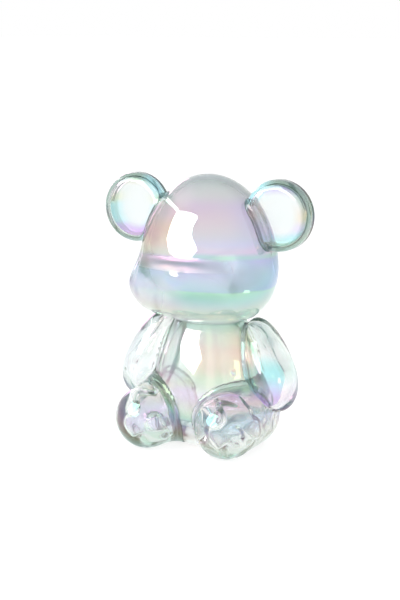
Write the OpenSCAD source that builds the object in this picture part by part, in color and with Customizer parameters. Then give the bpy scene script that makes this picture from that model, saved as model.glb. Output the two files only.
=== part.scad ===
// Seated bear figurine in clear crystal glass, put together from hollow glass pieces.
// It faces -Y, its left side is +X, and it sits on the plane z = 0.
// The origin is on that plane, on the middle line of the figure.
// Every piece is a thick shell whose hollow is open at its joint, and clear films bond them.

/* [Head] */
// Half the width of the head
head_half_w = 51; // [48:0.5:54]
// Half the depth of the head, front to back, without the muzzle
head_half_d = 44; // [41:0.5:47]
// Height of the crown above the widest level
head_up = 66.5; // [62:0.5:70]
// Depth of the jaw below the widest level
head_low = 42.5; // [41.5:0.5:44]
// Height of the widest level of the head
head_z = 128; // [126:0.5:129]
// Glass thickness of the head
head_wall = 5; // [4:0.5:6]

/* [Muzzle and nose] */
// Half the width of the muzzle swelling
muzzle_half_w = 52; // [48:0.5:54]
// Half the depth of the muzzle swelling
muzzle_half_d = 33; // [32:0.5:35]
// Half the height of the muzzle swelling
muzzle_half_h = 25; // [21:0.5:25]
// How far the middle of the muzzle lies in front of the middle line
muzzle_ahead = 17; // [15:0.5:19]
// Height of the middle of the muzzle
muzzle_z = 117; // [117:0.5:120]
// Half the width of the nose
nose_half_w = 7.5; // [6:0.5:9]
// How far the nose stands out of the muzzle
nose_proud = 2; // [1:0.5:3]
// Height of the nose above the middle of the muzzle
nose_rise = 10; // [7:0.5:12]

/* [Ears] */
// Radius of each ear
ear_r = 25; // [23:0.5:26]
// Thickness of each ear, front to back
ear_t = 17; // [15:0.5:18]
// Radius of the rounded edges round each ear's rim
ear_edge = 6.5; // [5:0.5:7]
// Distance of each ear's centre from the middle line
ear_x = 57; // [55:0.5:59]
// How far the ears lie in front of the middle line
ear_ahead = 3; // [0:0.5:5]
// Height of the ears' centres
ear_z = 168.5; // [166:0.5:170]
// Glass thickness of the ears
ear_wall = 4; // [3:0.5:4.5]

/* [Body] */
// Half the width of the body
body_half_w = 43; // [41:0.5:44]
// Half the depth of the body, front to back
body_half_d = 37; // [35:0.5:38]
// Height of the body's egg shape above its widest level
body_up = 77; // [75:0.5:79]
// Depth of the body's egg shape below its widest level
body_low = 34; // [33:0.5:36]
// Height of the widest level of the body
body_z = 30; // [29:0.5:31]
// Glass thickness of the body
body_wall = 5; // [4.5:0.5:5.5]
// Height of the neck joint
neck_z = 91.5; // [91:0.5:92]

/* [Arms] */
// Half the thickness of each arm, outward from the body
arm_half_t = 17; // [16:0.5:18]
// Half the width of each arm, front to back
arm_half_w = 20; // [18:0.5:21]
// Length of the arm above its widest level
arm_up = 44; // [41:0.5:44]
// Length of the hand below the arm's widest level
arm_low = 25; // [23:0.5:26]
// Distance of each arm's widest level from the middle line
arm_x = 51; // [50:0.5:52]
// Height of each arm's widest level
arm_z = 53; // [52:0.5:54]
// Outward slope of the arms in degrees
arm_slope = 22; // [18:0.5:22]
// Forward lean of the hands in degrees
arm_lean = 7; // [4:0.5:7]
// Glass thickness of the arms
arm_wall = 6; // [5:0.5:6.5]

/* [Legs] */
// Radius of each rounded foot
foot_r = 22.5; // [21.5:0.5:23]
// Distance of each foot's centre from the middle line
foot_x = 32; // [31:0.5:33]
// How far each foot's centre lies in front of the middle line
foot_ahead = 34; // [32:0.5:36]
// Radius of each rounded hip
hip_r = 26; // [24:0.5:27]
// Distance of each hip's centre from the middle line
hip_x = 28.5; // [28:0.5:30]
// How far each hip's centre lies behind the middle line
hip_behind = 0; // [-2:0.5:3]
// Glass thickness at the feet
foot_wall = 12; // [10:0.5:13]
// Glass thickness at the hips
hip_wall = 8; // [7:0.5:9]
// How much of each leg's round underside is ground away to stand flat
foot_flat = 0.5; // [0.3:0.1:0.8]

/* [Joints] */
// Thickness of the clear bonding film between two pieces
film = 0.3; // [0.2:0.05:0.4]

/* [Hidden] */
$fn = 120;
glass_head = "PaleTurquoise";
glass_ear = "LightCyan";
glass_body = "DarkSeaGreen";
glass_arm = "LightSteelBlue";
glass_leg = "CadetBlue";
bond_tint = "WhiteSmoke";
body_y = 2;
neck_bite = 0.65;
nose_half_d = 5;
nose_half_h = 6;
hollow_shift = 3;
bond_setback = 1;
bond_width = 4;
leg_run = [hip_x - foot_x, hip_behind + foot_ahead, hip_r - foot_r];
room = 300;

// Width of an egg's cross-section at a height above its widest level, as a share of its full width
function egg_share(height, half_h) = sqrt(1 - pow(height / half_h, 2));

// Half height of an inner egg whose section at a given height is a given half width
function hollow_half_h(height, half_w, open_half_w) =
    height / sqrt(1 - pow(open_half_w / half_w, 2));

// Everything below a level
module below(level) {
    translate([-room / 2, -room / 2, level - room])
        cube(room);
}

// Everything above a level
module above(level) {
    translate([-room / 2, -room / 2, level])
        cube(room);
}

// Egg shape: two half ellipsoids of different heights that share their widest section
module egg(half_w, half_d, up, low) {
    difference() {
        scale([half_w, half_d, up])
            sphere(r = 1);
        below(0);
    }
    difference() {
        scale([half_w, half_d, low])
            sphere(r = 1);
        above(0);
    }
}

// Disc with rounded edges, its flat sides facing front and back
module round_disc(radius, thickness, edge) {
    rotate([90, 0, 0])
        rotate_extrude() {
            translate([0, -thickness / 2])
                square([radius - edge, thickness]);
            translate([0, edge - thickness / 2])
                square([radius, thickness - 2 * edge]);
            for (end = [-1, 1])
                translate([radius - edge, end * (thickness / 2 - edge)])
                    circle(r = edge);
        }
}

// Bar with round ends of two sizes, from the origin up to a height
module swelling_bar(r_start, r_end, length) {
    lean = asin((r_end - r_start) / length);
    rotate_extrude()
        intersection() {
            union() {
                circle(r = r_start);
                translate([0, length])
                    circle(r = r_end);
                polygon([
                    [0, 0],
                    [r_start * cos(lean), -r_start * sin(lean)],
                    [r_end * cos(lean), length - r_end * sin(lean)],
                    [0, length]
                ]);
            }
            translate([0, -r_start])
                square([r_end, r_start + length + r_end]);
        }
}

// Leg on one side, swelling from the foot back to the hip, or its hollow when inset
module leg_form(side, foot_inset, hip_inset) {
    length = norm(leg_run);
    translate([side * foot_x, -foot_ahead, foot_r - foot_flat])
        rotate([0, acos(leg_run.z / length), atan2(leg_run.y, side * leg_run.x)])
            swelling_bar(foot_r - foot_inset, hip_r - hip_inset, length);
}

// Outside of the head's egg, grown all round by a margin
module head_form(margin) {
    translate([0, 0, head_z])
        egg(head_half_w + margin, head_half_d + margin, head_up + margin, head_low + margin);
}

// Outside of the body's egg, grown all round by a margin
module body_form(margin) {
    translate([0, body_y, body_z])
        egg(body_half_w + margin, body_half_d + margin, body_up + margin, body_low + margin);
}

module muzzle_form() {
    translate([0, -muzzle_ahead, muzzle_z])
        scale([muzzle_half_w, muzzle_half_d, muzzle_half_h])
            sphere(r = 1);
}

module nose_form() {
    nose_ahead = muzzle_ahead + muzzle_half_d * egg_share(nose_rise, muzzle_half_h);
    translate([0, nose_half_d - nose_proud - nose_ahead, muzzle_z + nose_rise])
        scale([nose_half_w, nose_half_d, nose_half_h])
            sphere(r = 1);
}

// Ear on one side, or its hollow when inset by the glass thickness
module ear_form(side, inset) {
    translate([side * ear_x, -ear_ahead, ear_z])
        round_disc(ear_r - inset, ear_t - 2 * inset, ear_edge - inset);
}

// Arm on one side, or its hollow when inset and shifted towards the body
module arm_form(side, inset, shift) {
    translate([side * (arm_x - shift), 0, arm_z])
        rotate([-arm_lean, 0, 0])
            rotate([0, -side * arm_slope, 0])
                egg(arm_half_t - inset, arm_half_w - inset, arm_up - inset, arm_low - inset);
}

// Ear glass before the head is taken out of it
module ear_glass(side) {
    difference() {
        ear_form(side, 0);
        ear_form(side, ear_wall);
    }
}

// Arm glass before the body and the leg are taken out of it
module arm_glass(side) {
    difference() {
        arm_form(side, 0, 0);
        arm_form(side, arm_wall, hollow_shift);
        leg_form(side, -film, -film);
    }
}

// Leg glass before the body is taken out of it
module leg_glass(side) {
    difference() {
        leg_form(side, 0, 0);
        leg_form(side, foot_wall, hip_wall);
        below(0);
    }
}

module ear(side) {
    color(glass_ear)
        difference() {
            ear_glass(side);
            head_form(film);
        }
}

module arm(side) {
    color(glass_arm)
        difference() {
            arm_glass(side);
            body_form(film);
        }
}

module leg(side) {
    color(glass_leg)
        difference() {
            leg_glass(side);
            body_form(film);
        }
}

module ear_bond(side) {
    color(bond_tint)
        difference() {
            intersection() {
                ear_glass(side);
                head_form(film);
            }
            head_form(0);
        }
}

module arm_bond(side) {
    color(bond_tint)
        difference() {
            intersection() {
                arm_glass(side);
                body_form(film);
            }
            body_form(0);
        }
}

module leg_bond(side) {
    color(bond_tint)
        difference() {
            intersection() {
                leg_glass(side);
                body_form(film);
            }
            body_form(0);
        }
}

module head_shell() {
    neck_drop = head_z - neck_z;
    inner_w = head_half_w - head_wall;
    neck_half_w = head_half_w * egg_share(neck_drop, head_low);
    color(glass_head)
        difference() {
            union() {
                head_form(0);
                muzzle_form();
                nose_form();
            }
            translate([0, 0, head_z])
                egg(inner_w, head_half_d - head_wall, head_up - head_wall,
                    hollow_half_h(neck_drop, inner_w, neck_half_w * neck_bite));
            below(neck_z + film / 2);
        }
}

module torso_shell() {
    neck_height = neck_z - body_z;
    inner_w = body_half_w - body_wall;
    neck_half_w = body_half_w * egg_share(neck_height, body_up);
    color(glass_body)
        difference() {
            body_form(0);
            translate([0, body_y, body_z])
                egg(inner_w, body_half_d - body_wall,
                    hollow_half_h(neck_height, inner_w, neck_half_w * neck_bite),
                    body_z - body_wall);
            above(neck_z - film / 2);
            below(0);
        }
}

module neck_bond() {
    ring_w = head_half_w * egg_share(head_z - neck_z, head_low) - bond_setback;
    ring_d = ring_w * head_half_d / head_half_w;
    color(bond_tint)
        translate([0, 0, neck_z])
            scale([1, ring_d / ring_w, 1])
                difference() {
                    cylinder(h = film, r = ring_w, center = true);
                    cylinder(h = 2 * film, r = ring_w - bond_width, center = true);
                }
}

head_shell();
ear(1);  // ear_left
ear(-1);  // ear_right
torso_shell();
arm(1);  // arm_left
arm(-1);  // arm_right
leg(1);  // leg_left
leg(-1);  // leg_right
neck_bond();
ear_bond(1);  // ear_bond_left
ear_bond(-1);  // ear_bond_right
arm_bond(1);  // arm_bond_left
arm_bond(-1);  // arm_bond_right
leg_bond(1);  // leg_bond_left
leg_bond(-1);  // leg_bond_right
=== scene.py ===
"""Looks of the seated crystal bear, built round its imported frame.

Blender gets metres; the shape functions work in millimetres. +Z is up, the bear faces -Y and
its left side is +X. Each glass piece is the zero level of a smooth field, meshed as one closed
shell with an outside and a hollow. Each piece stands for one CAD node.
"""
import math

import bpy
import numpy as np
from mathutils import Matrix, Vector


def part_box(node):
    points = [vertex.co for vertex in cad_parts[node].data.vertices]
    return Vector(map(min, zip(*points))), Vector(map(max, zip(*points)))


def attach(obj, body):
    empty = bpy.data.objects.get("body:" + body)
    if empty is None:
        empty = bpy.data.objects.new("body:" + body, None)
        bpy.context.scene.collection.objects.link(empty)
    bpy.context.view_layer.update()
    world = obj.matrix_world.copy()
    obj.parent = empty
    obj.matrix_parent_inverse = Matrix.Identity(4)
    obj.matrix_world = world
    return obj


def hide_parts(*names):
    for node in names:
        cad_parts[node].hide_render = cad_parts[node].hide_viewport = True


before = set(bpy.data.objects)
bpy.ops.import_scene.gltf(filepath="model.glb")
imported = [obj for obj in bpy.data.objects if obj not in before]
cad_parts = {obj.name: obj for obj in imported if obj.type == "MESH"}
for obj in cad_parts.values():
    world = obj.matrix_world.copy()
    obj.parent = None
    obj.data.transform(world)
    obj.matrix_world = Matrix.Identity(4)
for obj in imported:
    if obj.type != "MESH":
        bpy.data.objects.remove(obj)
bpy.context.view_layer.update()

MM = 0.001
SIDES = {"left": 1, "right": -1}


# ---------------------------------------------------------------- camera

CAMERA_AZIMUTH = math.radians(28.5)
CAMERA_ELEVATION = math.radians(10.5)
CAMERA_DISTANCE = 1.1
CAMERA_LENS = 92.1
CAMERA_SENSOR = 36.0
AIM_HEIGHT = 0.097
SHIFT_X = -0.015
SHIFT_Y = 0.016
CLIP_NEAR = 0.01
CLIP_FAR = 50.0


def camera_back():
    """Unit vector from the object towards the camera."""
    flat = math.cos(CAMERA_ELEVATION)
    return Vector((
        math.sin(CAMERA_AZIMUTH) * flat,
        -math.cos(CAMERA_AZIMUTH) * flat,
        math.sin(CAMERA_ELEVATION),
    ))


def make_camera():
    data = bpy.data.cameras.new("camera")
    data.lens = CAMERA_LENS
    data.sensor_width = CAMERA_SENSOR
    data.shift_x = SHIFT_X
    data.shift_y = SHIFT_Y
    data.clip_start = CLIP_NEAR
    data.clip_end = CLIP_FAR
    camera = bpy.data.objects.new("camera", data)
    camera.location = Vector((0, 0, AIM_HEIGHT)) + camera_back() * CAMERA_DISTANCE
    camera.rotation_mode = "QUATERNION"
    camera.rotation_quaternion = (-camera_back()).to_track_quat("-Z", "Y")
    bpy.context.scene.collection.objects.link(camera)
    bpy.context.scene.camera = camera


# ---------------------------------------------------------------- fields

TINY = 1e-9


def ellipsoid(p, centre, radii):
    """Close to the distance from an ellipsoid, negative inside."""
    q = (p - centre) / radii
    near = np.sqrt((q * q).sum(axis=-1))
    slope = np.sqrt(((q / radii) ** 2).sum(axis=-1))
    return near * (near - 1.0) / np.maximum(slope, TINY)


def pillow(p, centre, half_w, half_d, up, low, power):
    """An ellipsoid of two half heights, whose upper edge is tighter where the power is above 2."""
    q = np.abs(p - centre)
    top = p[:, 2] > centre[2]
    high = np.where(top, up, low)
    power = np.where(top, power, 2.0)
    flat = np.maximum(np.hypot(q[:, 0] / half_w, q[:, 1] / half_d), TINY)
    rise = q[:, 2] / high
    near = (flat ** power + rise ** power) ** (1 / power)
    turn = np.hypot(q[:, 0] / half_w ** 2, q[:, 1] / half_d ** 2) / flat
    slope = np.hypot((flat / near) ** (power - 1) * turn, (rise / near) ** (power - 1) / high)
    return (near - 1.0) / np.maximum(slope, TINY)


def egg(p, centre, half_w, half_d, up, low):
    """An ellipsoid whose upper and lower halves differ in height."""
    radii = np.empty_like(p)
    radii[:, 0] = half_w
    radii[:, 1] = half_d
    radii[:, 2] = np.where(p[:, 2] > centre[2], up, low)
    return ellipsoid(p, centre, radii)


def round_disc(p, centre, radius, thickness, edge):
    """A disc facing front and back with rounded edges."""
    q = p - centre
    out = np.sqrt(q[:, 0] ** 2 + q[:, 2] ** 2) - (radius - edge)
    over = np.abs(q[:, 1]) - (thickness / 2 - edge)
    outside = np.hypot(np.maximum(out, 0), np.maximum(over, 0))
    inside = np.minimum(np.maximum(out, over), 0)
    return outside + inside - edge


def swelling_bar(p, start, end, r_start, r_end):
    """A bar with round ends of two sizes."""
    length = np.linalg.norm(end - start)
    along = (end - start) / length
    lean = (r_end - r_start) / length
    rise = (p - start) @ along
    out = np.linalg.norm(p - start - rise[:, None] * along, axis=1)
    share = np.clip((rise + out * lean / math.sqrt(1 - lean * lean)) / length, 0, 1)
    return np.hypot(out, rise - share * length) - (r_start + share * (r_end - r_start))


def join(a, b, blend):
    """Union of two fields with a fillet."""
    overlap = np.maximum(blend - np.abs(a - b), 0) / blend
    return np.minimum(a, b) - overlap * overlap * blend / 4


def cut(a, b, blend):
    """Field a without what is inside field b, with a rounded edge."""
    return -join(-a, b, blend)


def upright(p, centre, slope, lean):
    """Points turned about centre so that a shape sloping sideways and leaning stands upright."""
    q = p - centre
    c, s = math.cos(lean), math.sin(lean)
    q = np.column_stack([q[:, 0], q[:, 1] * c + q[:, 2] * s, q[:, 2] * c - q[:, 1] * s])
    c, s = math.cos(slope), math.sin(slope)
    q = np.column_stack([q[:, 0] * c + q[:, 2] * s, q[:, 1], q[:, 2] * c - q[:, 0] * s])
    return q + centre


# ---------------------------------------------------------------- sizes, in millimetres

def box_mm(node):
    low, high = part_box(node)
    return np.array(low) / MM, np.array(high) / MM


head_low_corner, head_high_corner = box_mm("head_shell")
body_low_corner, body_high_corner = box_mm("torso_shell")
ear_low_corner, ear_high_corner = box_mm("ear_left")
leg_low_corner, leg_high_corner = box_mm("leg_left")

NECK = (head_low_corner[2] + body_high_corner[2]) / 2
CROWN = head_high_corner[2]
HEAD_HALF_D = head_high_corner[1]
MUZZLE_HALF_W = head_high_corner[0]
MUZZLE_OVERHANG = 1.0
HEAD_HALF_W = MUZZLE_HALF_W - MUZZLE_OVERHANG
HEAD_UP = 66.5
HEAD_LOW = 42.5
HEAD_WALL = 5.0
HEAD_FLOOR_WALL = 2.5
HEAD_CENTRE = np.array([0, 0, CROWN - HEAD_UP])
MUZZLE_CENTRE = HEAD_CENTRE + [0, -17.0, -12.0]
MUZZLE_HALF_D = 32.0
MUZZLE_UP = 22.0
MUZZLE_LOW = 24.5
MUZZLE_POWER = 9.0
CHEEK_POWER = 1.9
MUZZLE_BLEND = 1.0
CHEEK_BLEND = 16.0
CHEEK_X = 38.0
NOSE_CENTRE = HEAD_CENTRE + [0, -46.4, -0.5]
NOSE_RADII = np.array([6.8, 4.4, 5.0])
NOSE_BLEND = 4.0

EAR_R = (ear_high_corner[2] - ear_low_corner[2]) / 2
EAR_T = ear_high_corner[1] - ear_low_corner[1]
EAR_X = ear_high_corner[0] - EAR_R
EAR_Y = (ear_high_corner[1] + ear_low_corner[1]) / 2
EAR_Z = (ear_high_corner[2] + ear_low_corner[2]) / 2
EAR_EDGE = 6.5
EAR_WALL = 4.0

BODY_HALF_W = body_high_corner[0]
BODY_HALF_D = (body_high_corner[1] - body_low_corner[1]) / 2
BODY_UP = 77.0
BODY_LOW = 34.0
BODY_WALL = 5.0
BODY_HOLLOW_UP = 68.5
BODY_CENTRE = np.array([0, body_high_corner[1] - BODY_HALF_D, 30.0])

ARM_HALF_T = 17.0
ARM_HALF_W = 20.0
ARM_UP = 44.0
ARM_LOW = 25.0
ARM_X = 51.0
ARM_Z = 53.0
ARM_SLOPE = math.radians(22)
ARM_LEAN = math.radians(-7)
ARM_WALL = 6.0
ARM_HOLLOW_SHIFT = 3.0
ARM_WAVE_DEPTH = 1.2
ARM_WAVE_LENGTH = 30.0

LEG_FLAT = 0.5
FOOT_R = 22.5
FOOT_X = 32.0
FOOT_Y = leg_low_corner[1] + FOOT_R
FOOT_WALL = 12.0
HIP_R = 26.0
HIP_X = leg_high_corner[0] - HIP_R
HIP_Y = 0.0
HIP_WALL = 8.0
LEG_WAVE_DEPTH = 4.2
LEG_WAVE_LENGTH = 17.0

# Where the pieces meet: how far they lap into each other, the rounding of a cut edge, the
# fillets onto the form below, and the beads of adhesive.
LAP = 0.15
RIM = 1.0
EAR_FLARE = 4.0
ARM_FLARE = 6.0
LEG_FLARE = 8.0
SEAM_R = 0.5
NECK_SEAM_R = 0.6
SEAM_STEP = 1.2
SEAM_SIDES = 10
SEAM_CORNER = 3.0
SEAM_MAX_POINTS = 1000
SEAM_MIN_POINTS = 5
SEAM_CLOSED = 0.8

# The mesh grids, the room they leave round a node's box for its fillet, and how a vertex is
# drawn onto the surface.
HEAD_STEP = 1.1
BODY_STEP = 1.2
EAR_STEP = 0.8
LIMB_STEP = 0.9
ROOM = 9.0
SETTLE_ROUNDS = 4
GRADIENT_REACH = 0.05
GRADIENT_FLOOR = 0.2
SKIN_REACH = 0.3

# The edge over the muzzle, rougher than the rest so that it mirrors no hard line.
CREASE_BOTTOM = MUZZLE_CENTRE[2] + MUZZLE_UP - 7.5
CREASE_TOP = MUZZLE_CENTRE[2] + MUZZLE_UP + 3.5
CREASE_FADE = 1.5
CREASE_FRONT = 42.0
CREASE_END = 24.0


# ---------------------------------------------------------------- the bear's forms

def head_skin(p):
    """Head, muzzle and nose; the muzzle's top edge is tight in front and soft at the cheeks."""
    form = egg(p, HEAD_CENTRE, HEAD_HALF_W, HEAD_HALF_D, HEAD_UP, HEAD_LOW)
    aside = np.clip(np.abs(p[:, 0]) / CHEEK_X, 0, 1) ** 2
    power = MUZZLE_POWER + (CHEEK_POWER - MUZZLE_POWER) * aside
    blend = MUZZLE_BLEND + (CHEEK_BLEND - MUZZLE_BLEND) * aside
    muzzle = pillow(p, MUZZLE_CENTRE, MUZZLE_HALF_W, MUZZLE_HALF_D, MUZZLE_UP, MUZZLE_LOW, power)
    form = join(form, muzzle, blend)
    return join(form, ellipsoid(p, NOSE_CENTRE, NOSE_RADII), NOSE_BLEND)


def head_hollow(p):
    return egg(p, HEAD_CENTRE, HEAD_HALF_W - HEAD_WALL, HEAD_HALF_D - HEAD_WALL,
               HEAD_UP - HEAD_WALL, HEAD_LOW - HEAD_FLOOR_WALL)


def body_skin(p):
    return egg(p, BODY_CENTRE, BODY_HALF_W, BODY_HALF_D, BODY_UP, BODY_LOW)


def body_hollow(p):
    return egg(p, BODY_CENTRE, BODY_HALF_W - BODY_WALL, BODY_HALF_D - BODY_WALL,
               BODY_HOLLOW_UP, BODY_CENTRE[2] - BODY_WALL)


def ear_skin(side):
    centre = np.array([side * EAR_X, EAR_Y, EAR_Z])
    return lambda p: round_disc(p, centre, EAR_R, EAR_T, EAR_EDGE)


def ear_hollow(side):
    centre = np.array([side * EAR_X, EAR_Y, EAR_Z])
    return lambda p: round_disc(p, centre, EAR_R - EAR_WALL, EAR_T - 2 * EAR_WALL,
                                EAR_EDGE - EAR_WALL)


def arm_form(side, inset, shift):
    centre = np.array([side * (ARM_X - shift), 0, ARM_Z])
    return lambda p: egg(upright(p, centre, side * ARM_SLOPE, ARM_LEAN), centre,
                         ARM_HALF_T - inset, ARM_HALF_W - inset, ARM_UP - inset, ARM_LOW - inset)


def leg_form(side, foot_inset, hip_inset):
    foot = np.array([side * FOOT_X, FOOT_Y, FOOT_R - LEG_FLAT])
    hip = np.array([side * HIP_X, HIP_Y, HIP_R - LEG_FLAT])
    return lambda p: swelling_bar(p, foot, hip, FOOT_R - foot_inset, HIP_R - hip_inset)


def wavy(form, depth, length):
    """A hollow whose wall wanders in and out, as the inside of hand-shaped glass does.

    The uneven factors keep the three waves out of step with each other.
    """
    def field(p):
        x, y, z = (p * (2 * math.pi / length)).T
        wave = (np.sin(x + 1.3 * np.sin(z)) + np.sin(y * 0.8 + np.sin(x))
                + np.sin(z * 0.9 + 1.1 * np.sin(y)))
        return form(p) + depth * wave / 3
    return field


def bubble(x, y, z, radius):
    centre = np.array([x, y, z])
    return lambda p: np.linalg.norm(p - centre, axis=1) - radius


def flared(skin, base, blend):
    """A form that spreads in a fillet onto the form it sits on."""
    return lambda p: join(skin(p), base(p), blend)


def shell(skin, hollow, *taken):
    """Field of a glass wall from skin to hollow, less the forms taken, each short by LAP."""
    def field(p):
        value = cut(skin(p), hollow(p), RIM)
        for neighbour in taken:
            value = cut(value, neighbour(p) + LAP, RIM)
        return value
    return field


def below(level):
    return lambda p: p[:, 2] - level


def above(level):
    return lambda p: level - p[:, 2]


TORSO_BUBBLE = bubble(30, -20, 58, 1.3)
ARM_BUBBLE = bubble(-60, -14, 50, 1.3)


# ---------------------------------------------------------------- meshing

def surface_net(field, low, high, step):
    """Quad mesh of a field's zero level, one vertex in each grid cell that it crosses."""
    origin = np.array(low, float) - 2 * step
    counts = np.ceil((np.array(high, float) - origin) / step).astype(int) + 3
    axes = [origin[i] + step * np.arange(counts[i]) for i in range(3)]
    grid = np.stack(np.meshgrid(*axes, indexing="ij"), axis=-1).reshape(-1, 3)
    value = field(grid).reshape(counts)
    cells = tuple(counts - 1)
    total = np.zeros(cells + (3,))
    hits = np.zeros(cells)

    def corner(shift):
        return value[tuple(slice(s, s + n) for s, n in zip(shift, cells))]

    for axis in range(3):
        for u in (0, 1):
            for v in (0, 1):
                start = np.zeros(3, int)
                start[(axis + 1) % 3] = u
                start[(axis + 2) % 3] = v
                end = start.copy()
                end[axis] = 1
                a, b = corner(start), corner(end)
                crossed = (a < 0) != (b < 0)
                share = np.where(crossed, a / np.where(crossed, a - b, 1), 0)
                hits += crossed
                for i in range(3):
                    total[..., i] += crossed * (start[i] if i != axis else share)
    active = hits > 0
    number = np.full(cells, -1)
    number[active] = np.arange(active.sum())
    where = np.argwhere(active)
    points = origin + step * (where + total[active] / hits[active][:, None])
    quads = []
    inside = value < 0
    for axis in range(3):
        b, c = (axis + 1) % 3, (axis + 2) % 3
        first = [slice(1, n) for n in cells]
        first[axis] = slice(0, cells[axis])
        second = list(first)
        second[axis] = slice(1, cells[axis] + 1)
        starts, ends = inside[tuple(first)], inside[tuple(second)]
        for outward in (True, False):
            edge = np.argwhere(starts & ~ends if outward else ends & ~starts)
            edge[:, b] += 1
            edge[:, c] += 1
            ring = []
            for db, dc in ((1, 1), (0, 1), (0, 0), (1, 0)):
                cell = edge.copy()
                cell[:, b] -= db
                cell[:, c] -= dc
                ring.append(number[tuple(cell.T)])
            quads.append(np.column_stack(ring if outward else ring[::-1]))
    return points, np.concatenate(quads)


def gradient(field, points):
    steps = np.eye(3) * GRADIENT_REACH
    rises = [field(points + s) - field(points - s) for s in steps]
    return np.column_stack(rises) / (2 * GRADIENT_REACH)


def settle(field, points, step):
    """Move the vertices onto the zero level."""
    for _ in range(SETTLE_ROUNDS):
        slope = gradient(field, points)
        steepness = np.maximum((slope * slope).sum(axis=1), GRADIENT_FLOOR)
        move = -field(points)[:, None] * slope / steepness[:, None]
        points = points + np.clip(move, -step / 2, step / 2)
    return points


def mesh_object(name, points_mm, faces, material, coated=None):
    mesh = bpy.data.meshes.new(name)
    mesh.from_pydata((points_mm * MM).tolist(), [], faces.tolist())
    mesh.materials.append(material)
    if coated is not None:
        mask = mesh.attributes.new(COAT_MASK, "FLOAT", "FACE")
        mask.data.foreach_set("value", coated.astype(np.float32))
    mesh.polygons.foreach_set("use_smooth", np.ones(len(mesh.polygons), bool))
    mesh.update()
    piece = bpy.data.objects.new(name, mesh)
    bpy.context.scene.collection.objects.link(piece)
    return piece


def glass_piece(name, node, field, skin, step, material):
    """One glass shell: coated outside, plain in its hollow and where it was cut."""
    low, high = box_mm(node)
    points, quads = surface_net(field, low - ROOM, high + ROOM, step)
    points = settle(field, points, step)
    middles = points[quads].mean(axis=1)
    outside = np.abs(skin(middles)) < SKIN_REACH
    piece = mesh_object(name, points, quads, material, outside)
    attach(piece, "root")
    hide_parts(node)
    return piece


def crease_loop(one, other, start):
    """Closed path of points along which two skins meet, followed from near start."""
    point = np.array(start, float)
    gap = SEAM_CLOSED * SEAM_STEP
    path = []
    for count in range(SEAM_MAX_POINTS):
        for _ in range(SETTLE_ROUNDS):
            here = point[None]
            pair = np.vstack([gradient(one, here), gradient(other, here)])
            point = point - np.linalg.pinv(pair) @ np.array([one(here)[0], other(here)[0]])
        if count > SEAM_MIN_POINTS and np.linalg.norm(point - path[0]) < gap:
            break
        path.append(point)
        along = np.cross(pair[0], pair[1])
        point = point + along / np.linalg.norm(along) * SEAM_STEP
    return np.array(path)


def bead(name, node, path, skin, radius, material):
    """Thin closed bead of clear adhesive along a crease in a skin."""
    forward = np.roll(path, -1, axis=0) - np.roll(path, 1, axis=0)
    forward /= np.linalg.norm(forward, axis=1)[:, None]
    up = gradient(skin, path)
    up -= (up * forward).sum(axis=1)[:, None] * forward
    up /= np.linalg.norm(up, axis=1)[:, None]
    across = np.cross(forward, up)
    turn = np.linspace(0, 2 * math.pi, SEAM_SIDES, endpoint=False)[None, :, None]
    ring = np.cos(turn) * up[:, None] + np.sin(turn) * across[:, None]
    points = (path[:, None] + radius * ring).reshape(-1, 3)
    here = np.arange(len(path)) * SEAM_SIDES
    ahead = np.roll(here, -1)
    faces = []
    for k in range(SEAM_SIDES):
        following = (k + 1) % SEAM_SIDES
        faces.append(np.column_stack([here + k, here + following, ahead + following, ahead + k]))
    faces = np.concatenate(faces)
    piece = mesh_object(name, points, faces, material, np.zeros(len(faces)))
    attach(piece, "root")
    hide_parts(node)
    return piece


# ---------------------------------------------------------------- materials

def node_tree(name):
    material = bpy.data.materials.new(name)
    material.use_nodes = True
    tree = material.node_tree
    return material, tree, tree.nodes["Principled BSDF"]


MINT = (0.62, 0.90, 0.78)
LEMON = (0.90, 0.93, 0.68)
PEACH = (1.0, 0.80, 0.62)
PINK = (0.97, 0.78, 0.88)
LILAC = (0.86, 0.74, 0.99)
SKY = (0.62, 0.72, 0.99)
PALE = (0.92, 0.94, 0.92)
CLEAR = (0.98, 0.99, 0.99)
VIOLET = (0.72, 0.52, 1.0)
MAGENTA = (0.95, 0.55, 0.98)
CYAN = (0.55, 0.93, 1.0)
SALMON = (1.0, 0.72, 0.62)
DEEP_SKY = (0.54, 0.63, 0.96)
DEEP_MINT = (0.50, 0.84, 0.72)
SAGE_RIM_SHADE = (0.40, 0.52, 0.46)
MIST = (0.80, 0.92, 0.87)
WHITE = (1.0, 1.0, 1.0)

COAT_MASK = "coat"
COAT_ROUGHNESS = 0.015
FILM_NM = (250, 620)
GLASS_DEPTH = (0.45, 0.62, 0.56)
GLASS_IOR = 1.5
GLASS_TRANSMISSION = 0.96
CREASE_ROUGHNESS = 0.4

# The colour bands wander by a share of the height, and left and right meet in a soft line.
DRIFT = 0.05
SIDE_DRIFT = 12.0
SIDE_FADE = 10.0
WANDER_SCALE = 14.0
WANDER_DETAIL = 2.0
RIPPLE_SCALE = 45.0
RIPPLE_DETAIL = 1.0
RIPPLE_STRENGTH = 0.05
RIPPLE_DEPTH = 0.001

# Distances from the middle of an ear over which its hollow and its rim take their colour, and
# distances inwards from there over which the root does. The rim's colour is painted shade, and
# the root's is a painted cyan caustic light.
EAR_HOLLOW_FADE = (11, 19)
EAR_RIM_FADE = (19, 22)
EAR_ROOT_FADE = (12, 3)

# Partly the coat's pearly tint and partly painted reflection: the sky band over the muzzle is the
# room above mirrored, the mint under it is the floor mirrored, and the peach and salmon beside the
# forehead's highlight are a painted warm iridescent reflection.
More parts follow.
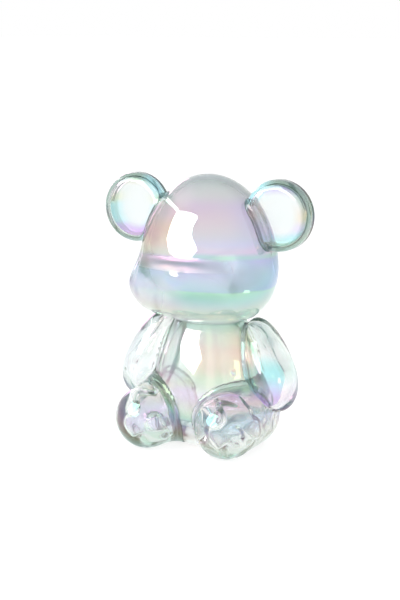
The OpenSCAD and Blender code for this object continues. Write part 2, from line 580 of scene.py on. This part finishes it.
HEAD_TINT_AND_PAINTED_REFLECTION = {
    "right": [(0.0, MIST), (0.1, MIST), (0.22, PALE), (0.27, LILAC), (0.38, SKY),
              (0.46, LILAC), (0.50, LEMON), (0.57, PEACH), (0.65, SALMON), (0.76, PINK),
              (0.86, PALE), (1.0, MIST)],
    "left": [(0.0, MIST), (0.1, MINT), (0.25, MINT), (0.265, DEEP_SKY), (0.36, DEEP_SKY),
             (0.45, DEEP_SKY), (0.48, DEEP_MINT), (0.52, PINK), (0.58, LILAC), (0.80, LILAC),
             (0.9, PALE), (1.0, MIST)],
}
# Mostly the coat's pale tint; the lemon, salmon and peach patch on the chest's left side is a
# painted warm reflection.
BODY_TINT_AND_PAINTED_REFLECTION = {
    "right": [(0.0, PALE), (0.3, CLEAR), (0.5, PALE), (0.65, CLEAR), (0.8, CLEAR), (1.0, MINT)],
    "left": [(0.0, PALE), (0.3, CLEAR), (0.42, PALE), (0.54, LEMON), (0.66, SALMON), (0.78, PEACH),
             (0.88, LEMON), (1.0, MINT)],
}
EAR_LOOK = {
    "right": [(0.0, PALE), (0.15, CLEAR), (0.8, CLEAR), (1.0, MIST)],
    "left": [(0.0, MIST), (0.2, CLEAR), (0.8, CLEAR), (1.0, MIST)],
}
# Painted reflection colours: the coat's iridescent reflections, put on the uncoated wall of the
# ears' hollows.
EAR_HOLLOW_PAINTED_REFLECTION = {
    "right": [(0.08, MAGENTA), (0.2, VIOLET), (0.3, CYAN), (0.5, CYAN), (0.6, LEMON), (0.75, CLEAR),
              (1.0, PEACH)],
    "left": [(0.08, MINT), (0.2, CYAN), (0.35, LILAC), (0.5, PEACH), (0.75, CLEAR), (0.95, VIOLET)],
}
LIMB_LOOK = {
    "right": [(0.0, MINT), (0.12, MIST), (0.3, CLEAR), (0.42, PALE), (0.5, CLEAR), (1.0, CLEAR)],
    "left": [(0.0, MIST), (0.2, CLEAR), (0.36, CLEAR), (0.46, PINK), (0.54, CLEAR), (0.62, MIST),
             (0.75, CLEAR), (1.0, MIST)],
}
# Painted reflection colours: the coat's iridescent reflections, put on the uncoated wall of the
# arms' and legs' hollows.
LIMB_HOLLOW_PAINTED_REFLECTION = {
    "right": [(0.0, CLEAR), (0.3, LILAC), (0.38, LEMON), (0.46, CLEAR), (1.0, CLEAR)],
    "left": [(0.0, MIST), (0.2, CLEAR), (0.28, SKY), (0.36, PINK), (0.42, VIOLET), (0.52, CYAN),
             (0.64, CYAN), (0.75, CLEAR), (1.0, CLEAR)],
}
PLAIN_LOOK = {side: [(0.0, CLEAR), (1.0, CLEAR)] for side in SIDES}


def noise(tree, place, scale, detail):
    texture = tree.nodes.new("ShaderNodeTexNoise")
    texture.inputs["Scale"].default_value = scale
    texture.inputs["Detail"].default_value = detail
    tree.links.new(place, texture.inputs["Vector"])
    return texture.outputs["Fac"]


def remap(tree, value, low, high, to_low, to_high, smooth=False):
    node = tree.nodes.new("ShaderNodeMapRange")
    node.interpolation_type = "SMOOTHSTEP" if smooth else "LINEAR"
    node.inputs["From Min"].default_value = low
    node.inputs["From Max"].default_value = high
    node.inputs["To Min"].default_value = to_low
    node.inputs["To Max"].default_value = to_high
    tree.links.new(value, node.inputs["Value"])
    return node.outputs["Result"]


def compute(tree, operation, *values):
    """Result of a math node on one or two sockets."""
    node = tree.nodes.new("ShaderNodeMath")
    node.operation = operation
    for socket, value in zip(node.inputs, values):
        tree.links.new(value, socket)
    return node.outputs[0]


def colour_bands(tree, place, bands):
    """Colours stacked along a 0 to 1 value."""
    ramp = tree.nodes.new("ShaderNodeValToRGB")
    elements = ramp.color_ramp.elements
    ramp.color_ramp.interpolation = "EASE"
    while len(elements) > 1:
        elements.remove(elements[0])
    for count, (position, colour) in enumerate(bands):
        element = elements[0] if count == 0 else elements.new(position)
        element.position = position
        element.color = (*colour, 1)
    tree.links.new(place, ramp.inputs["Fac"])
    return ramp.outputs["Color"]


def from_ear(tree, split, fade):
    """0 nearer to the middle of an ear than the fade's start, 1 beyond its end."""
    place = tree.nodes.new("ShaderNodeCombineXYZ")
    tree.links.new(compute(tree, "ABSOLUTE", split.outputs["X"]), place.inputs["X"])
    tree.links.new(split.outputs["Z"], place.inputs["Z"])
    away = tree.nodes.new("ShaderNodeVectorMath")
    away.operation = "DISTANCE"
    tree.links.new(place.outputs[0], away.inputs[0])
    away.inputs[1].default_value = (EAR_X * MM, 0, EAR_Z * MM)
    return remap(tree, away.outputs["Value"], fade[0] * MM, fade[1] * MM, 0, 1, smooth=True)


def from_ear_root(tree, split):
    """0 at the root of an ear, 1 towards its middle."""
    start, end = (EAR_X - inwards for inwards in EAR_ROOT_FADE)
    aside = compute(tree, "ABSOLUTE", split.outputs["X"])
    return remap(tree, aside, start * MM, end * MM, 0, 1, smooth=True)


def near_crease(tree, split):
    """1 along the soft edge over the muzzle, 0 away from it."""
    over_low = remap(tree, split.outputs["Z"], CREASE_BOTTOM * MM,
                     (CREASE_BOTTOM + CREASE_FADE) * MM, 0, 1, smooth=True)
    under_top = remap(tree, split.outputs["Z"], (CREASE_TOP - 2 * CREASE_FADE) * MM,
                      CREASE_TOP * MM, 1, 0, smooth=True)
    in_front = remap(tree, split.outputs["Y"], -CREASE_FRONT * MM, -CREASE_END * MM, 1, 0,
                     smooth=True)
    return compute(tree, "MULTIPLY", in_front, compute(tree, "MULTIPLY", over_low, under_top))


def mixed(tree, share, first, second):
    """Colour that goes from first to second; each is a socket or a plain colour."""
    node = tree.nodes.new("ShaderNodeMix")
    node.data_type = "RGBA"
    tree.links.new(share, node.inputs[0])
    for socket, colour in zip(node.inputs[6:8], (first, second)):
        if isinstance(colour, tuple):
            socket.default_value = (*colour, 1)
        else:
            tree.links.new(colour, socket)
    return node.outputs[2]


def two_sided(tree, aside, height, look):
    """Bands of colour up the bear's right side and its left, meeting where aside says."""
    return mixed(tree, aside, *[colour_bands(tree, height, look[side])
                                for side in ("right", "left")])


def crystal(name, coat, low, high, *, mirror, inner_roughness, density, hollow=None,
            film_index=1.9, ring=False, creased=False):
    """Glass with a pearly coat outside, its bands partly the coat's tint and partly painted
    reflections, and, where given, painted reflection colours on the wall of its hollow; ring paints
    shade on an ear's rim.
    """
    material, tree, shader = node_tree(name)
    link = tree.links.new
    place = tree.nodes.new("ShaderNodeTexCoord").outputs["Object"]
    split = tree.nodes.new("ShaderNodeSeparateXYZ")
    link(place, split.inputs[0])
    mask = tree.nodes.new("ShaderNodeAttribute")
    mask.attribute_name = COAT_MASK
    mask = mask.outputs["Fac"]

    wander = noise(tree, place, WANDER_SCALE, WANDER_DETAIL)
    height = compute(tree, "ADD", remap(tree, split.outputs["Z"], low * MM, high * MM, 0, 1),
                     remap(tree, wander, 0, 1, -DRIFT, DRIFT))
    aside = compute(tree, "ADD", split.outputs["X"],
                    remap(tree, wander, 0, 1, -SIDE_DRIFT * MM, SIDE_DRIFT * MM))
    aside = remap(tree, aside, -SIDE_FADE * MM, SIDE_FADE * MM, 0, 1, smooth=True)
    # The outer bands: the coat's own tint, with painted reflections in them.
    outer = two_sided(tree, aside, height, coat)
    inner = two_sided(tree, aside, height, hollow) if hollow else CLEAR
    if ring:
        # An ear: its hollow is clear in the middle, and its rim is painted shade that turns cyan, a
        # painted caustic light, at the root.
        inner = mixed(tree, from_ear(tree, split, EAR_HOLLOW_FADE), CLEAR, inner)
        painted_rim_shade = mixed(tree, from_ear_root(tree, split), CYAN, SAGE_RIM_SHADE)
        outer = mixed(tree, from_ear(tree, split, EAR_RIM_FADE), outer, painted_rim_shade)
    link(mixed(tree, mask, inner, outer), shader.inputs["Base Color"])

    roughness = remap(tree, mask, 0, 1, inner_roughness, COAT_ROUGHNESS)
    shine = remap(tree, mask, 0, 1, 0, mirror)
    if creased:
        crease = near_crease(tree, split)
        roughness = compute(tree, "ADD", roughness,
                            remap(tree, crease, 0, 1, 0, CREASE_ROUGHNESS))
        shine = compute(tree, "MULTIPLY", shine, remap(tree, crease, 0, 1, 1, 0))
    film = compute(tree, "MULTIPLY", mask, remap(tree, height, 0, 1, *FILM_NM))
    link(roughness, shader.inputs["Roughness"])
    link(shine, shader.inputs["Metallic"])
    link(film, shader.inputs["Thin Film Thickness"])
    shader.inputs["Thin Film IOR"].default_value = film_index
    shader.inputs["IOR"].default_value = GLASS_IOR
    shader.inputs["Transmission Weight"].default_value = GLASS_TRANSMISSION

    bump = tree.nodes.new("ShaderNodeBump")
    bump.inputs["Strength"].default_value = RIPPLE_STRENGTH
    bump.inputs["Distance"].default_value = RIPPLE_DEPTH
    link(noise(tree, place, RIPPLE_SCALE, RIPPLE_DETAIL), bump.inputs["Height"])
    link(bump.outputs["Normal"], shader.inputs["Normal"])
    depth = tree.nodes.new("ShaderNodeVolumeAbsorption")
    depth.inputs["Color"].default_value = (*GLASS_DEPTH, 1)
    depth.inputs["Density"].default_value = density
    link(depth.outputs[0], tree.nodes["Material Output"].inputs["Volume"])
    return material


# ---------------------------------------------------------------- stage

FLOOR_COLOUR = (0.35, 0.35, 0.35)
FLOOR_GLOW = 0.82
FLOOR_HALF = 30.0
GRAIN_SCALE = 4.0
GRAIN_DEPTH = 0.995
PAPER_ROUGHNESS = 0.9
SKY_BANDS = [(0.0, WHITE), (0.2, WHITE), (0.5, (0.70, 0.74, 0.78)), (1.0, (0.60, 0.68, 0.66))]

# Cards and panels are outlined by directions in degrees, azimuth and elevation.
CARD_COUNT = 8
CARD_HALF_TURN = 6
CARD_FOOT = 2
CARD_TOP = 55
CARD_DISTANCE = 0.7
CARD_COLOUR = (0.24, 0.30, 0.29)
PANEL_DISTANCE = 0.95
PANELS = {
    "key_panel": (WHITE, 5.0, [(-13, 47), (-10, 44), (-14, 34), (-13, 26), (-3, 17), (-2, 14),
                               (-15, 3), (-44, 8), (-54, 16), (-58, 40)]),
    "tail_panel": (WHITE, 3.0, [(-116, 22), (-115, 25), (-57, 42), (-58, 39)]),
    "side_panel": (PEACH, 2.6, [(62, 2), (79, 2), (80, 13), (68, 15)]),
    "pink_panel": ((1.0, 0.66, 0.84), 2.4, [(-142, 2), (-119, 4), (-117, 27), (-140, 24)]),
}
LIGHT_AIM = 0.12


def stage_material(name, colour, glow, glow_colour=WHITE):
    """Matt paper with a faint grain, which may also glow."""
    material, tree, shader = node_tree(name)
    grain = tree.nodes.new("ShaderNodeTexNoise")
    grain.inputs["Scale"].default_value = GRAIN_SCALE
    darker = tuple(c * GRAIN_DEPTH for c in colour)
    tree.links.new(mixed(tree, grain.outputs["Fac"], darker, colour), shader.inputs["Base Color"])
    shader.inputs["Roughness"].default_value = PAPER_ROUGHNESS
    shader.inputs["Specular IOR Level"].default_value = 0.0
    shader.inputs["Emission Color"].default_value = (*glow_colour, 1)
    shader.inputs["Emission Strength"].default_value = glow
    return material


def make_floor():
    corners = np.array([(-1, -1, 0), (1, -1, 0), (1, 1, 0), (-1, 1, 0)]) * FLOOR_HALF
    floor = mesh_object("floor", corners / MM, np.array([[0, 1, 2, 3]]),
                        stage_material("floor_paper", FLOOR_COLOUR, FLOOR_GLOW))


def make_world():
    """White near the horizon, dimmer and cooler overhead."""
    world = bpy.data.worlds.new("studio")
    bpy.context.scene.world = world
    world.use_nodes = True
    tree = world.node_tree
    background = tree.nodes["Background"]
    coordinates = tree.nodes.new("ShaderNodeTexCoord")
    split = tree.nodes.new("ShaderNodeSeparateXYZ")
    tree.links.new(coordinates.outputs["Generated"], split.inputs[0])
    sky = colour_bands(tree, split.outputs["Z"], SKY_BANDS)
    tree.links.new(sky, background.inputs["Color"])
    background.inputs["Strength"].default_value = 1.0


def heading(azimuth, elevation):
    """Unit vector; azimuth 0 is straight in front of the bear and turns towards its left."""
    a, e = math.radians(azimuth), math.radians(elevation)
    return Vector((math.sin(a) * math.cos(e), -math.cos(a) * math.cos(e), math.sin(e)))


def panel(name, corners, distance, colour, glow, in_reflections):
    """A card or light that only the glass sees; in_reflections says if it is also mirrored."""
    points = [Vector((0, 0, AIM_HEIGHT)) + heading(*corner) * distance for corner in corners]
    outline = np.arange(len(points))[None]
    card = mesh_object(name, np.array(points) / MM, outline,
                       stage_material(name, colour, glow, colour))
    card.visible_camera = False
    card.visible_diffuse = False
    card.visible_shadow = False
    card.visible_glossy = in_reflections


def make_cards():
    """Dark strips round the set that draw the edges of the glass."""
    for k in range(CARD_COUNT):
        middle = math.degrees(CAMERA_AZIMUTH) + 360 / CARD_COUNT * (k + 0.5)
        low, high = middle - CARD_HALF_TURN, middle + CARD_HALF_TURN
        corners = [(low, CARD_FOOT), (high, CARD_FOOT), (high, CARD_TOP), (low, CARD_TOP)]
        panel(f"dark_card_{k}", corners, CARD_DISTANCE, CARD_COLOUR, 0.0, False)


def make_panels():
    """The light that forehead and chest mirror, its tail, and a coloured light on each side."""
    for name, (colour, glow, corners) in PANELS.items():
        panel(name, corners, PANEL_DISTANCE, colour, glow, True)


def softbox(name, *, azimuth, elevation, distance, width, height, power):
    """A soft light that neither shows nor is mirrored."""
    data = bpy.data.lights.new(name, "AREA")
    data.shape = "RECTANGLE"
    data.size = width
    data.size_y = height
    data.energy = power
    light = bpy.data.objects.new(name, data)
    out = heading(azimuth, elevation)
    light.visible_glossy = False
    light.visible_transmission = False
    light.location = Vector((0, 0, LIGHT_AIM)) + out * distance
    light.rotation_mode = "QUATERNION"
    light.rotation_quaternion = (-out).to_track_quat("-Z", "Y")
    bpy.context.scene.collection.objects.link(light)


def make_lights():
    softbox("key_softbox", azimuth=-32, elevation=40, distance=0.9, width=0.6, height=0.5, power=4)
    softbox("top_softbox", azimuth=90, elevation=70, distance=1.0, width=0.6, height=0.6, power=3)


# ---------------------------------------------------------------- build

def make_glass():
    """The five materials, by the piece that they are for."""
    return {
        "head": crystal("head_crystal", HEAD_TINT_AND_PAINTED_REFLECTION, NECK, CROWN,
                        mirror=0.16, inner_roughness=0.32, density=14, creased=True),
        "body": crystal("body_crystal", BODY_TINT_AND_PAINTED_REFLECTION, 0, NECK,
                        mirror=0.10, inner_roughness=0.1, density=18),
        "ear": crystal("ear_crystal", EAR_LOOK, EAR_Z - EAR_R, EAR_Z + EAR_R,
                       mirror=0.03, inner_roughness=0.03, density=10,
                       hollow=EAR_HOLLOW_PAINTED_REFLECTION, film_index=1.6, ring=True),
        "limb": crystal("limb_crystal", LIMB_LOOK, 0, NECK,
                        mirror=0.03, inner_roughness=0.03, density=8,
                        hollow=LIMB_HOLLOW_PAINTED_REFLECTION, film_index=1.7),
        "glue": crystal("clear_adhesive", PLAIN_LOOK, 0, CROWN,
                        mirror=0, inner_roughness=0.02, density=14),
    }


def build_side(word, side, glass):
    """The ear, arm and leg of one side, and the beads of adhesive round their roots."""
    plain_ear, plain_arm, plain_leg = ear_skin(side), arm_form(side, 0, 0), leg_form(side, 0, 0)
    ear = flared(plain_ear, head_skin, EAR_FLARE)
    arm = flared(plain_arm, body_skin, ARM_FLARE)
    leg = flared(plain_leg, body_skin, LEG_FLARE)
    arm_hollow = wavy(arm_form(side, ARM_WALL, ARM_HOLLOW_SHIFT), ARM_WAVE_DEPTH, ARM_WAVE_LENGTH)
    leg_hollow = wavy(leg_form(side, FOOT_WALL, HIP_WALL), LEG_WAVE_DEPTH, LEG_WAVE_LENGTH)

    def bare_arm(p):
        return cut(plain_arm(p), plain_leg(p), SEAM_CORNER)

    glass_piece(f"bear_ear_{word}", f"ear_{word}", shell(ear, ear_hollow(side), head_skin),
                ear, EAR_STEP, glass["ear"])
    glass_piece(f"bear_arm_{word}", f"arm_{word}",
                shell(arm, arm_hollow, body_skin, leg, ARM_BUBBLE),
                arm, LIMB_STEP, glass["limb"])
    glass_piece(f"bear_leg_{word}", f"leg_{word}", shell(leg, leg_hollow, body_skin, below(LAP)),
                leg, LIMB_STEP, glass["limb"])

    ear_start = (side * 38, EAR_Y - 8, EAR_Z)
    arm_start = (side * 38, -12, ARM_Z)
    leg_start = (side * 30, -16, 2 * FOOT_R)
    for part, base, skin, start in (("ear", head_skin, plain_ear, ear_start),
                                    ("arm", body_skin, bare_arm, arm_start),
                                    ("leg", body_skin, plain_leg, leg_start)):
        bead(f"{part}_seam_{word}", f"{part}_bond_{word}", crease_loop(base, skin, start),
             base, SEAM_R, glass["glue"])


def build_bear():
    glass = make_glass()
    glass_piece("bear_head", "head_shell", shell(head_skin, head_hollow, below(NECK)),
                head_skin, HEAD_STEP, glass["head"])
    glass_piece("bear_body", "torso_shell",
                shell(body_skin, body_hollow, above(NECK), below(LAP), TORSO_BUBBLE),
                body_skin, BODY_STEP, glass["body"])
    for word, side in SIDES.items():
        build_side(word, side, glass)
    neck_start = (0, -22, NECK)
    bead("neck_seam", "neck_bond", crease_loop(head_skin, body_skin, neck_start),
         head_skin, NECK_SEAM_R, glass["glue"])


make_camera()
make_world()
make_lights()
make_floor()
make_cards()
make_panels()
build_bear()
bpy.context.scene.view_settings.view_transform = "Standard"
